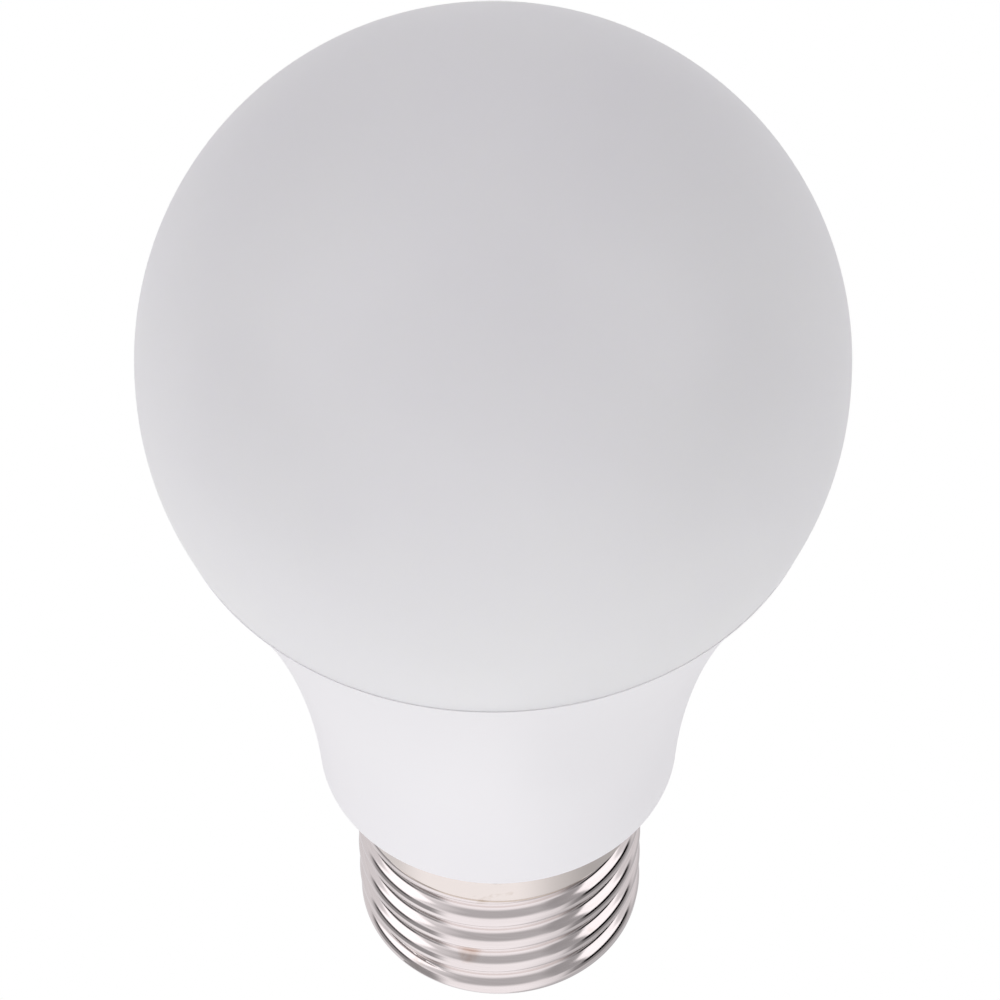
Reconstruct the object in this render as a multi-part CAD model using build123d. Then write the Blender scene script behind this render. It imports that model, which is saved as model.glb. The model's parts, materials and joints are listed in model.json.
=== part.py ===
from build123d import *
import math
import os

# Smart LED light bulb: milky globe, flared plastic body and E27 screw cap, with a radio-controlled
# light engine and its driver sealed inside. Millimetres. The origin is the tip of the centre contact,
# +Z runs up the bulb's axis to the top of the globe, and the front of the bulb faces -Y.

# --- Driving dimensions -------------------------------------------------------------------------
# Globe
GLOBE_RADIUS = 30.0
GLOBE_Z = 80.4  # bottom of the short straight band at the widest place
GLOBE_TOP = 111.2
GLOBE_WALL = 1.2
SEAM_Z = 69.4  # globe meets body
PLUG_RADIUS = 24.9  # skirt of the globe that plugs into the body
PLUG_BOTTOM = 67.4
EDGE_ROUND = 0.12

# Flared body
LIP_Z = 28.65  # lower edge of the flare
LIP_RADIUS = 16.25
RIM_RADIUS = 28.0
FLARE_RADIUS = 97.0  # radius of the concave flank seen from the side
BODY_WALL = 1.5
NECK_RADIUS = 12.75  # spigot inside the cap's skirt
NECK_TIP_RADIUS = 11.7  # spigot inside the cap's thread
NECK_BORE = 10.5
NECK_BOTTOM = 13.5
BODY_FLOOR = 30.2

# Screw cap E27
THREAD_RADIUS = 13.15
THREAD_PITCH = 3.629
THREAD_CREST_ROUND = 1.03
THREAD_ROOT_ROUND = 1.05
THREAD_CORE = 12.2
RIDGE_FOOT = 0.4  # how deep the thread's ridge is rooted in the shell
CAP_SHEET = 0.35
CREST_Z = 17.8  # height of one crest on the front of the cap
SKIRT_BOTTOM = 21.35
ROLL_Z = 6.83  # centre of the rolled lower edge
ROLL_ROUND = 1.0
ROLL_RADIUS = 13.05
FLANGE_BORE = 10.4
PUNCH_Z = 24.4
PUNCH_COUNT = 4
PUNCH_RADIUS = 0.62
PUNCH_SHEET = 0.28  # sheet thickness round a punch mark

# Centre contact and its insulator
CONTACT_RADIUS = 5.2
CONTACT_FLAT = 2.6
CONTACT_SWELL = (4.2, 0.32)  # a point on the rounded edge between flat and shoulder
CONTACT_SHOULDER = 0.9
CONTACT_HEIGHT = 2.0
RIVET_RADIUS = 1.5
RIVET_TOP = 6.5
RIVET_BORE = 0.75
RIVET_FLOOR = 3.0  # bottom of the hole for the live wire
INSULATOR_RIM = 1.2  # thickness of the rim that rests on the shell's flange
INSULATOR_FLOOR = 2.4  # thickness round the rivet
INSULATOR_DISH = 6.5  # radius where the dished top starts
INSULATOR_BOSS = 3.2

# Heat sink, pad and LED board
FIT = 0.05  # play between parts that slide together
SINK_WALL = 1.0
SINK_BOTTOM = 36.0
SINK_TOP = 63.2
SINK_PLATE = 1.2
PAD_RADIUS = 21.5
PAD_THICKNESS = 0.3
BOARD_RADIUS = 22.5
BOARD_THICKNESS = 1.2
SCREW_CIRCLE = 12.5
SCREW_RADIUS = 1.25
SCREW_HEAD = 2.3
SCREW_HEAD_HEIGHT = 1.5
SCREW_LENGTH = 4.6
SCREW_BOSS = 1.8  # depth of the threaded bosses under the plate
LED_CIRCLE = 18.0
LED_COUNT = 8  # of each white
LED_SIZE = (3.5, 2.8, 0.8)
COLOUR_LED_CIRCLE = 11.5
COLOUR_LED_COUNT = 4
COLOUR_LED_SIZE = (5.0, 5.0, 1.4)

# Driver board, standing in the liner's guide rails with its faces to the front and back
LINER_WALL = 0.7
LINER_TOP = 61.9
RAIL_X = 12.2
DRIVER_THICKNESS = 1.6
DRIVER_BOTTOM = 15.0
DRIVER_TOP = 60.6
DRIVER_HALF_WIDTH = 13.0
DRIVER_NECK_HALF_WIDTH = 9.6
DRIVER_NECK_TOP = 33.5
DRIVER_SHOULDER = 37.0

# Radio module, flat on the front of the driver board with its antenna above the LED board
MODULE_X = -4.5
MODULE_WIDTH = 14.0
MODULE_THICKNESS = 0.8
MODULE_BOTTOM = 49.0
MODULE_TOP = 73.0

# Plug connection between driver board and LED board
PIN_PITCH = 2.0
PIN_COUNT = 4
PIN_SIZE = 0.5
PIN_X = 8.0
PIN_Y = 2.3
PIN_TOP = 67.0
PIN_BEND_Z = 57.0

# Parts on the driver board: middle x and y, lower end, then their own sizes
INPUT_CAN = (0, 5.6, 20.0, 4.0, 15.0)  # radius, height
OUTPUT_CAN = (8.0, 6.0, 42.0, 4.0, 11.5)  # radius, height
FUSE = (-4.0, -3.4, 22.0, 1.7, 7.0)  # radius, length
INDUCTOR = (6.0, -5.0, 36.5, 3.6, 8.0)  # flange radius, height
INDUCTOR_FLANGE = 1.2
INDUCTOR_CORE = 2.0
INDUCTOR_WIRE = 0.35  # radius of the wire
LEAD_RADIUS = 0.3

# Transformer, with its middle on the back of the driver board
TRANSFORMER = (-3.0, 6.9, 47.0)
CORE_LEG = 3.6
CORE_DEPTH = 5.5
CORE_SIDE = 1.5
WINDOW = 3.2
WINDOW_HEIGHT = 8.0
BOBBIN_FLANGE = 0.6
BOBBIN_WALLS = 1.2  # both walls of the former together
BOBBIN_REACH = 5.4  # how much deeper the flanges are than the core

WIRE_RADIUS = 0.6

# --- Worked out from the above ------------------------------------------------------------------
BOARD_BOTTOM = SINK_TOP + PAD_THICKNESS
BOARD_TOP = BOARD_BOTTOM + BOARD_THICKNESS
DRIVER_FRONT = -DRIVER_THICKNESS / 2
DRIVER_BACK = DRIVER_THICKNESS / 2
MODULE_FRONT = DRIVER_FRONT - MODULE_THICKNESS
LINER_OUTSET = BODY_WALL + SINK_WALL + 2 * FIT
BOBBIN_HEIGHT = WINDOW_HEIGHT - 0.1


def flare_centre():
    """Centre of the circle that the body's flank follows, from its two ends and its radius."""
    run = RIM_RADIUS - LIP_RADIUS
    rise = SEAM_Z - LIP_Z
    chord = math.hypot(run, rise)
    reach = math.sqrt(FLARE_RADIUS**2 - (chord / 2) ** 2)
    radius = (LIP_RADIUS + RIM_RADIUS) / 2 + reach * rise / chord
    height = (LIP_Z + SEAM_Z) / 2 - reach * run / chord
    return radius, height


FLARE_CENTRE_R, FLARE_CENTRE_Z = flare_centre()


def flare(z, inset=0.0):
    """Radius of the body's flank at height z, moved inwards by inset."""
    drop = z - FLARE_CENTRE_Z
    return FLARE_CENTRE_R - math.sqrt((FLARE_RADIUS + inset) ** 2 - drop**2)


# --- Building helpers ---------------------------------------------------------------------------
def flare_arc(start_z, end_z, inset=0.0):
    """Arc of the flank between two heights, moved inwards by inset."""
    middle_z = (start_z + end_z) / 2
    return ThreePointArc(
        (flare(start_z, inset), start_z),
        (flare(middle_z, inset), middle_z),
        (flare(end_z, inset), end_z),
    )


def lines(*points):
    """Straight runs through points given as (radius, height)."""
    return [Line(a, b) for a, b in zip(points, points[1:])]


def turned(*edges):
    """Solid turned about the bulb's axis from the closed half section that the edges trace."""
    section = Plane.XZ * make_face(Curve() + list(edges))
    return revolve(section, Axis.Z)


def block(x, y, z, width, depth, height):
    """Box centred on x and y, standing on height z."""
    return Pos(x, y, z) * Box(width, depth, height, align=(Align.CENTER, Align.CENTER, Align.MIN))


def post(x, y, z, radius, height):
    """Upright cylinder standing on height z."""
    return Pos(x, y, z) * Cylinder(radius, height, align=(Align.CENTER, Align.CENTER, Align.MIN))


def plugged(x, y_from, y_to, z, radius):
    """Cylinder along Y between two depths."""
    depth = y_to - y_from
    turn = Rot(90, 0, 0) * Cylinder(radius, depth)
    return Pos(x, y_from + depth / 2, z) * turn


def on_front(x, z, width, height, depth, face=DRIVER_FRONT):
    """Box mounted on a front face, centred on x and z, standing out by depth."""
    return Pos(x, face - depth / 2, z) * Box(width, depth, height)


def outer_edge(solid, height):
    """The widest circular edge at one height."""
    circles = solid.edges().filter_by(GeomType.CIRCLE)
    level = circles.filter_by_position(Axis.Z, height - 0.01, height + 0.01)
    return level.sort_by(SortBy.RADIUS)[-1]


def around(radius, count, start_angle, piece):
    """Copies of a piece about the axis, each turned to face outwards."""
    step = 360 / count
    return [Rot(0, 0, start_angle + step * i) * Pos(radius, 0, 0) * piece for i in range(count)]


def punches(radius, punch_radius):
    """The balls that shape the punch marks round the skirt, the first on the front."""
    return around(radius, PUNCH_COUNT, -90, Pos(0, 0, PUNCH_Z) * Sphere(punch_radius))


# --- Globe and body -----------------------------------------------------------------------------
def globe_diffuser():
    """Thin globe with a flange and a short skirt that plugs into the body."""
    upper_centre = GLOBE_TOP - GLOBE_RADIUS
    inner = GLOBE_RADIUS - GLOBE_WALL
    flange_top = SEAM_Z + GLOBE_WALL
    skirt_inner = PLUG_RADIUS - GLOBE_WALL
    cos_45 = math.cos(math.pi / 4)

    def upper(radius):
        middle = (radius * cos_45, upper_centre + radius * cos_45)
        return ThreePointArc((radius, upper_centre), middle, (0, upper_centre + radius))

    def lower(radius, end_z):
        half_angle = math.asin((GLOBE_Z - end_z) / radius) / 2
        middle = (radius * math.cos(half_angle), GLOBE_Z - radius * math.sin(half_angle))
        end = (radius * math.cos(2 * half_angle), end_z)
        return ThreePointArc((radius, GLOBE_Z), middle, end)

    outside = lower(GLOBE_RADIUS, SEAM_Z)
    inside = lower(inner, flange_top)
    plug = lines(
        tuple(inside @ 1)[:2],
        (skirt_inner, flange_top),
        (skirt_inner, PLUG_BOTTOM),
        (PLUG_RADIUS, PLUG_BOTTOM),
        (PLUG_RADIUS, SEAM_Z),
        tuple(outside @ 1)[:2],
    )
    globe = turned(
        outside,
        Line((GLOBE_RADIUS, GLOBE_Z), (GLOBE_RADIUS, upper_centre)),
        upper(GLOBE_RADIUS),
        Line((0, GLOBE_TOP), (0, GLOBE_TOP - GLOBE_WALL)),
        upper(inner),
        Line((inner, upper_centre), (inner, GLOBE_Z)),
        inside,
        *plug,
    )
    return fillet(outer_edge(globe, SEAM_Z), EDGE_ROUND)


def diffuser_sealant():
    """Silicone that fills the wedge between the globe's skirt and the body's rim."""
    top = SEAM_Z - 0.2
    bottom = PLUG_BOTTOM
    return turned(
        *lines((PLUG_RADIUS, top), (PLUG_RADIUS, bottom), (flare(bottom, BODY_WALL), bottom)),
        flare_arc(bottom, top, BODY_WALL),
        Line((flare(top, BODY_WALL), top), (PLUG_RADIUS, top)),
    )


def housing_shell():
    """Flared plastic body with its spigot, the punch pockets and the notch for the neutral wire."""
    neck_step = SKIRT_BOTTOM + 2 * CAP_SHEET
    shell = turned(
        flare_arc(LIP_Z, SEAM_Z),
        Line((RIM_RADIUS, SEAM_Z), (flare(SEAM_Z, BODY_WALL), SEAM_Z)),
        flare_arc(SEAM_Z, BODY_FLOOR, BODY_WALL),
        *lines(
            (flare(BODY_FLOOR, BODY_WALL), BODY_FLOOR),
            (NECK_BORE, BODY_FLOOR),
            (NECK_BORE, NECK_BOTTOM),
            (NECK_TIP_RADIUS, NECK_BOTTOM),
            (NECK_TIP_RADIUS, neck_step),
            (NECK_RADIUS, neck_step),
            (NECK_RADIUS, LIP_Z),
            (LIP_RADIUS, LIP_Z),
        ),
    )
    for height in (LIP_Z, SEAM_Z):
        shell = fillet(outer_edge(shell, height), EDGE_ROUND)
    pocket_radius = PUNCH_RADIUS + PUNCH_SHEET + FIT
    for pocket in punches(THREAD_RADIUS, pocket_radius):
        shell -= pocket
    notch_x = -(NECK_BORE + NECK_TIP_RADIUS) / 2
    notch_depth = 2.0
    notch_width = 2.4 * WIRE_RADIUS
    notch_height = 6.0
    shell -= block(notch_x, 0, NECK_BOTTOM, notch_depth, notch_width, notch_height)
    return shell


# --- Screw cap ----------------------------------------------------------------------------------
def thread_ridge(crest_round, root_round, core, foot):
    """Helical ridge with a rounded crest and rounded roots, long enough to run out at both ends."""
    crest_centre = THREAD_RADIUS - THREAD_CREST_ROUND
    lean = math.asin(THREAD_PITCH / 2 / (THREAD_CREST_ROUND + THREAD_ROOT_ROUND))
    flank = (crest_centre + crest_round * math.cos(lean), crest_round * math.sin(lean))
    both = crest_round + root_round
    root_centre = (crest_centre + both * math.cos(lean), both * math.sin(lean))
    bite = 0.06  # how far the ridge's foot sinks into the core
    end = math.acos((root_centre[0] - core + bite) / root_round)
    middle = (end + lean) / 2
    on_root = [
        (root_centre[0] - root_round * math.cos(a), root_centre[1] - root_round * math.sin(a))
        for a in (middle, end)
    ]
    (mid_r, mid_z), (end_r, end_z) = on_root
    flank_r, flank_z = flank
    section = make_face(
        Curve()
        + [
            ThreePointArc((end_r, -end_z), (mid_r, -mid_z), (flank_r, -flank_z)),
            ThreePointArc((flank_r, -flank_z), (crest_centre + crest_round, 0), (flank_r, flank_z)),
            ThreePointArc((flank_r, flank_z), (mid_r, mid_z), (end_r, end_z)),
            *lines((end_r, end_z), (foot, end_z), (foot, -end_z), (end_r, -end_z)),
        ]
    )
    turns = 5.2
    path = Helix(pitch=THREAD_PITCH, height=THREAD_PITCH * turns, radius=crest_centre)
    ridge = sweep(Plane.XZ * section, path=path, is_frenet=True)
    start_z = CREST_Z - 4 * THREAD_PITCH
    return Pos(0, 0, start_z) * Rot(0, 0, -90) * ridge


def threaded_length(top):
    """Slab that trims the thread between the rolled edge and the skirt."""
    return post(0, 0, ROLL_Z, THREAD_RADIUS + 2, top - ROLL_Z)


def cap_outside():
    """Everything inside the cap's outer surface, filled."""
    roll_centre = ROLL_RADIUS - ROLL_ROUND
    roll_top = ROLL_Z + math.sqrt(ROLL_ROUND**2 - (THREAD_CORE - roll_centre) ** 2)
    skirt_edge = THREAD_RADIUS - CAP_SHEET
    filled = turned(
        Line((0, ROLL_Z - ROLL_ROUND), (roll_centre, ROLL_Z - ROLL_ROUND)),
        ThreePointArc((roll_centre, ROLL_Z - ROLL_ROUND), (ROLL_RADIUS, ROLL_Z), (THREAD_CORE, roll_top)),
        *lines((THREAD_CORE, roll_top), (THREAD_CORE, SKIRT_BOTTOM), (skirt_edge, SKIRT_BOTTOM)),
        JernArc((skirt_edge, SKIRT_BOTTOM), (1, 0), CAP_SHEET, 90),
        *lines((THREAD_RADIUS, SKIRT_BOTTOM + CAP_SHEET), (THREAD_RADIUS, LIP_Z), (0, LIP_Z)),
        Line((0, LIP_Z), (0, ROLL_Z - ROLL_ROUND)),
    )
    foot = THREAD_CORE - RIDGE_FOOT
    ridge = thread_ridge(THREAD_CREST_ROUND, THREAD_ROOT_ROUND, THREAD_CORE, foot)
    return filled + (ridge & threaded_length(SKIRT_BOTTOM + 0.1))


def cap_inside():
    """The cap's bore, with the groove that follows the thread on the inside."""
    bore = THREAD_CORE - CAP_SHEET
    roll_centre = ROLL_RADIUS - ROLL_ROUND
    roll_bore = ROLL_ROUND - CAP_SHEET
    skirt_bore = THREAD_RADIUS - CAP_SHEET
    flange_top = ROLL_Z - roll_bore
    roll_top = ROLL_Z + roll_bore
    below = ROLL_Z - 3
    above = LIP_Z + 1
    hollow = turned(
        *lines((0, below), (FLANGE_BORE, below), (FLANGE_BORE, flange_top), (roll_centre, flange_top)),
        ThreePointArc((roll_centre, flange_top), (roll_centre + roll_bore, ROLL_Z), (roll_centre, roll_top)),
        *lines(
            (roll_centre, roll_top),
            (bore, roll_top),
            (bore, SKIRT_BOTTOM + CAP_SHEET),
            (skirt_bore, SKIRT_BOTTOM + CAP_SHEET),
            (skirt_bore, above),
            (0, above),
            (0, below),
        ),
    )
    groove_sheet = CAP_SHEET - 0.05  # the sheet is drawn a little thinner along the thread
    crest = THREAD_CREST_ROUND - groove_sheet
    root = THREAD_ROOT_ROUND + groove_sheet
    groove = thread_ridge(crest, root, bore, bore - RIDGE_FOOT)
    return hollow + (groove & threaded_length(SKIRT_BOTTOM - 0.1))


def cap_shell():
    """Thin threaded shell with a plain skirt above, a rolled edge below and punch marks."""
    cap = cap_outside() - cap_inside()
    inner_skin = post(0, 0, PUNCH_Z - 2, THREAD_RADIUS - CAP_SHEET + 0.05, 4)
    for bump in punches(THREAD_RADIUS, PUNCH_RADIUS + PUNCH_SHEET):
        cap += bump & inner_skin
    for dent in punches(THREAD_RADIUS + 0.1, PUNCH_RADIUS):
        cap -= dent
    return cap


def cap_insulator():
    """Insulating button between the shell and the centre contact."""
    seat = ROLL_Z - ROLL_ROUND + CAP_SHEET  # top of the shell's flange
    hole = RIVET_RADIUS + FIT
    return turned(
        *lines(
            (hole, CONTACT_HEIGHT),
            (CONTACT_RADIUS + 0.4, CONTACT_HEIGHT),
            (FLANGE_BORE - 0.1, seat - 0.8),
            (FLANGE_BORE - 0.1, seat),
            (THREAD_CORE - 0.7, seat),
            (THREAD_CORE - 0.7, seat + INSULATOR_RIM),
            (INSULATOR_DISH, seat + INSULATOR_RIM),
            (INSULATOR_BOSS, CONTACT_HEIGHT + INSULATOR_FLOOR),
            (hole, CONTACT_HEIGHT + INSULATOR_FLOOR),
            (hole, CONTACT_HEIGHT),
        )
    )


def centre_contact():
    """Round contact plate with a flat tip and a hollow rivet that grips the live wire."""
    return turned(
        Line((0, 0), (CONTACT_FLAT, 0)),
        ThreePointArc((CONTACT_FLAT, 0), CONTACT_SWELL, (CONTACT_RADIUS, CONTACT_SHOULDER)),
        *lines(
            (CONTACT_RADIUS, CONTACT_SHOULDER),
            (CONTACT_RADIUS, CONTACT_HEIGHT),
            (RIVET_RADIUS, CONTACT_HEIGHT),
            (RIVET_RADIUS, RIVET_TOP),
            (RIVET_BORE, RIVET_TOP),
            (RIVET_BORE, RIVET_FLOOR),
            (0, RIVET_FLOOR),
            (0, 0),
        ),
    )


# --- Light engine -------------------------------------------------------------------------------
def screw_places():
    return [(0, SCREW_CIRCLE), (0, -SCREW_CIRCLE)]


def module_slot(bottom, height):
    """Opening that the radio module stands through."""
    middle = (DRIVER_FRONT + MODULE_FRONT) / 2
    return block(MODULE_X, middle, bottom, MODULE_WIDTH + 0.8, MODULE_THICKNESS + 0.8, height)


def pin_slot(bottom, height):
    """Opening that the header pins pass through."""
    return block(PIN_X, PIN_Y, bottom, PIN_PITCH * PIN_COUNT + 0.4, 1.6, height)


def heat_sink_cup():
    """Upturned aluminium cup that lines the body and carries the LED board on its flat top."""
    outer = BODY_WALL + FIT
    inner = outer + SINK_WALL
    plate_bottom = SINK_TOP - SINK_PLATE
    cup = turned(
        Line((0, SINK_TOP), (flare(SINK_TOP, outer), SINK_TOP)),
        flare_arc(SINK_TOP, SINK_BOTTOM, outer),
        Line((flare(SINK_BOTTOM, outer), SINK_BOTTOM), (flare(SINK_BOTTOM, inner), SINK_BOTTOM)),
        flare_arc(SINK_BOTTOM, plate_bottom, inner),
        Line((flare(plate_bottom, inner), plate_bottom), (0, plate_bottom)),
        Line((0, plate_bottom), (0, SINK_TOP)),
    )
    for x, y in screw_places():
        cup += post(x, y, plate_bottom - SCREW_BOSS, SCREW_RADIUS + 0.8, SCREW_BOSS)
        cup -= post(x, y, plate_bottom - 2, SCREW_RADIUS + 0.01, SINK_PLATE + 3)
    cup -= module_slot(plate_bottom - 1, SINK_PLATE + 2)
    cup -= pin_slot(plate_bottom - 1, SINK_PLATE + 2)
    return cup


def thermal_pad():
    """Soft pad between the heat sink and the LED board."""
    pad = post(0, 0, SINK_TOP, PAD_RADIUS, PAD_THICKNESS)
    for x, y in screw_places():
        pad -= post(x, y, SINK_TOP - 1, SCREW_RADIUS + 0.3, PAD_THICKNESS + 2)
    pad -= module_slot(SINK_TOP - 1, PAD_THICKNESS + 2)
    pad -= pin_slot(SINK_TOP - 1, PAD_THICKNESS + 2)
    return pad


def led_board():
    """Round aluminium-core board."""
    board = post(0, 0, BOARD_BOTTOM, BOARD_RADIUS, BOARD_THICKNESS)
    for x, y in screw_places():
        board -= post(x, y, BOARD_BOTTOM - 1, SCREW_RADIUS + 0.2, BOARD_THICKNESS + 2)
    board -= module_slot(BOARD_BOTTOM - 1, BOARD_THICKNESS + 2)
    board -= pin_slot(BOARD_BOTTOM - 1, BOARD_THICKNESS + 2)
    return board


def led_package(length, width, height):
    """Light emitting diode: a frame around a shallow round well."""
    well_depth = 0.15
    package = block(0, 0, BOARD_TOP, width, length, height)
    return package - post(0, 0, BOARD_TOP + height - well_depth, width * 0.4, 1)


def white_leds(start_angle):
    return Compound(around(LED_CIRCLE, LED_COUNT, start_angle, led_package(*LED_SIZE)))


def colour_leds():
    return Compound(around(COLOUR_LED_CIRCLE, COLOUR_LED_COUNT, 45, led_package(*COLOUR_LED_SIZE)))


def board_screws():
    """Pan-head screws with cross recesses."""
    recess = (2.6, 0.5, 1.2)
    screws = []
    for x, y in screw_places():
        screw = post(x, y, BOARD_TOP - SCREW_LENGTH, SCREW_RADIUS, SCREW_LENGTH)
        head = post(x, y, BOARD_TOP, SCREW_HEAD, SCREW_HEAD_HEIGHT)
        head = fillet(head.edges().group_by(Axis.Z)[-1], 0.6)
        for angle in (0, 90):
            head -= Pos(x, y, BOARD_TOP + SCREW_HEAD_HEIGHT - 0.3) * Rot(0, 0, angle) * Box(*recess)
        screws.append(screw + head)
    return Compound(screws)


def pin_places():
    first = PIN_X - PIN_PITCH * (PIN_COUNT - 1) / 2
    return [first + PIN_PITCH * i for i in range(PIN_COUNT)]


def board_socket():
    """Connector on the LED board that the header pins push into from below."""
    socket = block(PIN_X, PIN_Y, BOARD_TOP, PIN_PITCH * PIN_COUNT + 1.4, 3.4, 3.4)
    socket = chamfer(socket.edges().group_by(Axis.Z)[-1], 0.25)
    for x in pin_places():
        socket -= block(x, PIN_Y, BOARD_TOP - 1, PIN_SIZE + 0.1, PIN_SIZE + 0.1, 6)
    return socket


def header_pins():
    """Right-angle pins: soldered through the driver board, then up to the LED board."""
    half = PIN_SIZE / 2
    pins = []
    for x in pin_places():
        upright = block(x, PIN_Y, PIN_BEND_Z - half, PIN_SIZE, PIN_SIZE, PIN_TOP - PIN_BEND_Z + half)
        depth = PIN_Y + half - (DRIVER_FRONT - 0.7)
        tail = Pos(x, PIN_Y + half - depth / 2, PIN_BEND_Z) * Box(PIN_SIZE, depth, PIN_SIZE)
        pins.append(upright + tail)
    return Compound(pins)


def header_block():
    """Plastic strip that spaces the header pins."""
    strip = block(PIN_X, PIN_Y, PIN_BEND_Z + 0.8, PIN_PITCH * PIN_COUNT, 2.0, 2.2)
    for x in pin_places():
        strip -= block(x, PIN_Y, PIN_BEND_Z, PIN_SIZE + 0.04, PIN_SIZE + 0.04, 5)
    return strip


# --- Radio module -------------------------------------------------------------------------------
def radio_module_board():
    height = MODULE_TOP - MODULE_BOTTOM
    return on_front(MODULE_X, MODULE_BOTTOM + height / 2, MODULE_WIDTH, height, MODULE_THICKNESS)


def radio_shield_can():
    """Pressed metal can over the radio chip, open towards the module board."""
    middle_z = 55.3
    width = 11.0
    height = 9.6
    depth = 1.8
    sheet = 0.2
    can = on_front(MODULE_X, middle_z, width, height, depth, MODULE_FRONT)
    can = fillet(can.faces().sort_by(Axis.Y)[0].edges(), 0.3)
    inside = (width - 2 * sheet, height - 2 * sheet, depth - sheet)
    return can - on_front(MODULE_X, middle_z, *inside, MODULE_FRONT)


def radio_crystal():
    return on_front(MODULE_X - 4.0, 50.0, 2.5, 1.0, 0.5, MODULE_FRONT)


def radio_antenna():
    """Meander antenna on the part of the module that stands above the LED board."""
    track = 0.6
    thickness = 0.12
    reach = 6.2
    step = 1.8
    runs = 7
    left = MODULE_X - step * (runs - 1) / 2
    low = BOARD_TOP + 1.4
    trace = on_front(left, low + reach / 2, track, reach, thickness, MODULE_FRONT)
    for i in range(1, runs):
        x = left + step * i
        link_z = low + reach - track / 2 if i % 2 else low + track / 2
        trace += on_front(x - step / 2, link_z, step + track, track, thickness, MODULE_FRONT)
        trace += on_front(x, low + reach / 2, track, reach, thickness, MODULE_FRONT)
    return trace


# --- Driver -------------------------------------------------------------------------------------
def driver_liner():
    """Insulating sleeve inside the heat sink, with two rails that the driver board slides into."""
    inner = LINER_OUTSET + LINER_WALL
    bottom = BODY_FLOOR
    bore = turned(
        Line((0, bottom), (flare(bottom, inner), bottom)),
        flare_arc(bottom, LINER_TOP, inner),
        Line((flare(LINER_TOP, inner), LINER_TOP), (0, LINER_TOP)),
        Line((0, LINER_TOP), (0, bottom)),
    )
    sleeve = turned(
        Line((flare(bottom, inner), bottom), (flare(bottom, LINER_OUTSET), bottom)),
        flare_arc(bottom, LINER_TOP, LINER_OUTSET),
        Line((flare(LINER_TOP, LINER_OUTSET), LINER_TOP), (flare(LINER_TOP, inner), LINER_TOP)),
        flare_arc(LINER_TOP, bottom, inner),
    )
    rail_reach = 12.0
    rail_bottom = 38.0
    rail_height = 20.0
    rail_thickness = 1.0
    for side in (-1, 1):
        for face in (-1, 1):
            middle_x = side * (RAIL_X + rail_reach / 2)
            middle_y = face * (DRIVER_BACK + FIT + rail_thickness / 2)
            rail = block(middle_x, middle_y, rail_bottom, rail_reach, rail_thickness, rail_height)
            sleeve += rail & bore
    return sleeve


def driver_board():
    """Upright circuit board with a narrow tongue that reaches down the neck."""
    half = DRIVER_HALF_WIDTH
    neck = DRIVER_NECK_HALF_WIDTH
    outline = Polyline(
        (-neck, DRIVER_BOTTOM),
        (neck, DRIVER_BOTTOM),
        (neck, DRIVER_NECK_TOP),
        (half, DRIVER_SHOULDER),
        (half, DRIVER_TOP),
        (-half, DRIVER_TOP),
        (-half, DRIVER_SHOULDER),
        (-neck, DRIVER_NECK_TOP),
        (-neck, DRIVER_BOTTOM),
    )
    board = extrude(Plane.XZ * make_face(outline), DRIVER_THICKNESS / 2, both=True)
    for x in pin_places():
        board -= plugged(x, -2, 2, PIN_BEND_Z, PIN_SIZE)
    return board


def electrolytic(can):
    """Aluminium can in a sleeve, with a crimp groove at its foot and a scored vent on top."""
    x, y, bottom, radius, height = can
    crimp_z = 2.0
    score = (radius * 1.2, 0.25, 0.3)
    body = post(x, y, bottom, radius, height)
    body = fillet(body.edges().filter_by(GeomType.CIRCLE), 0.5)
    body -= Pos(x, y, bottom + crimp_z) * Torus(radius + 0.35, 0.6)
    for angle in (0, 90):
        body -= Pos(x, y, bottom + height) * Rot(0, 0, angle) * Box(*score)
    return body


def component_leads():
    """Bent leads of the two cans and of the fusible resistor, down to their pads on the board."""
    can_drop = 1.5
    fuse_drop = 1.2
    leads = []
    for x, y, bottom, radius, height in (INPUT_CAN, OUTPUT_CAN):
        for side in (-1, 1):
            lead_x = x + side * radius * 0.45
            corner_z = bottom - can_drop
            drop = post(lead_x, y, corner_z, LEAD_RADIUS, can_drop)
            foot = plugged(lead_x, DRIVER_BACK, y, corner_z, LEAD_RADIUS)
            leads.append(drop + foot + Pos(lead_x, y, corner_z) * Sphere(LEAD_RADIUS))
    x, y, bottom, radius, length = FUSE
    top = bottom + length
    for stub_z, corner_z in ((bottom - fuse_drop, bottom - fuse_drop), (top, top + fuse_drop)):
        stub = post(x, y, stub_z, LEAD_RADIUS, fuse_drop)
        foot = plugged(x, y, DRIVER_FRONT, corner_z, LEAD_RADIUS)
        leads.append(stub + foot + Pos(x, y, corner_z) * Sphere(LEAD_RADIUS))
    return Compound(leads)


def fuse_resistor():
    """Axial fusible resistor standing on end, with swollen end caps."""
    x, y, bottom, radius, length = FUSE
    cap_length = 1.8
    body = post(x, y, bottom, radius * 0.86, length)
    for z in (bottom, bottom + length - cap_length):
        cap = post(x, y, z, radius, cap_length)
        body += fillet(cap.edges().filter_by(GeomType.CIRCLE), 0.4)
    return body


def bridge_rectifier():
    """Four-legged rectifier package."""
    x, z = 4.6, 26.0
    leg_x, leg_z = 1.3, 2.3
    body = on_front(x, z, 4.7, 3.8, 1.5)
    body = chamfer(body.faces().sort_by(Axis.Y)[0].edges(), 0.3)
    for side in (-1, 1):
        for end in (-1, 1):
            body += on_front(x + side * leg_x, z + end * leg_z, 0.8, 1.2, 0.25)
    return body


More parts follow.
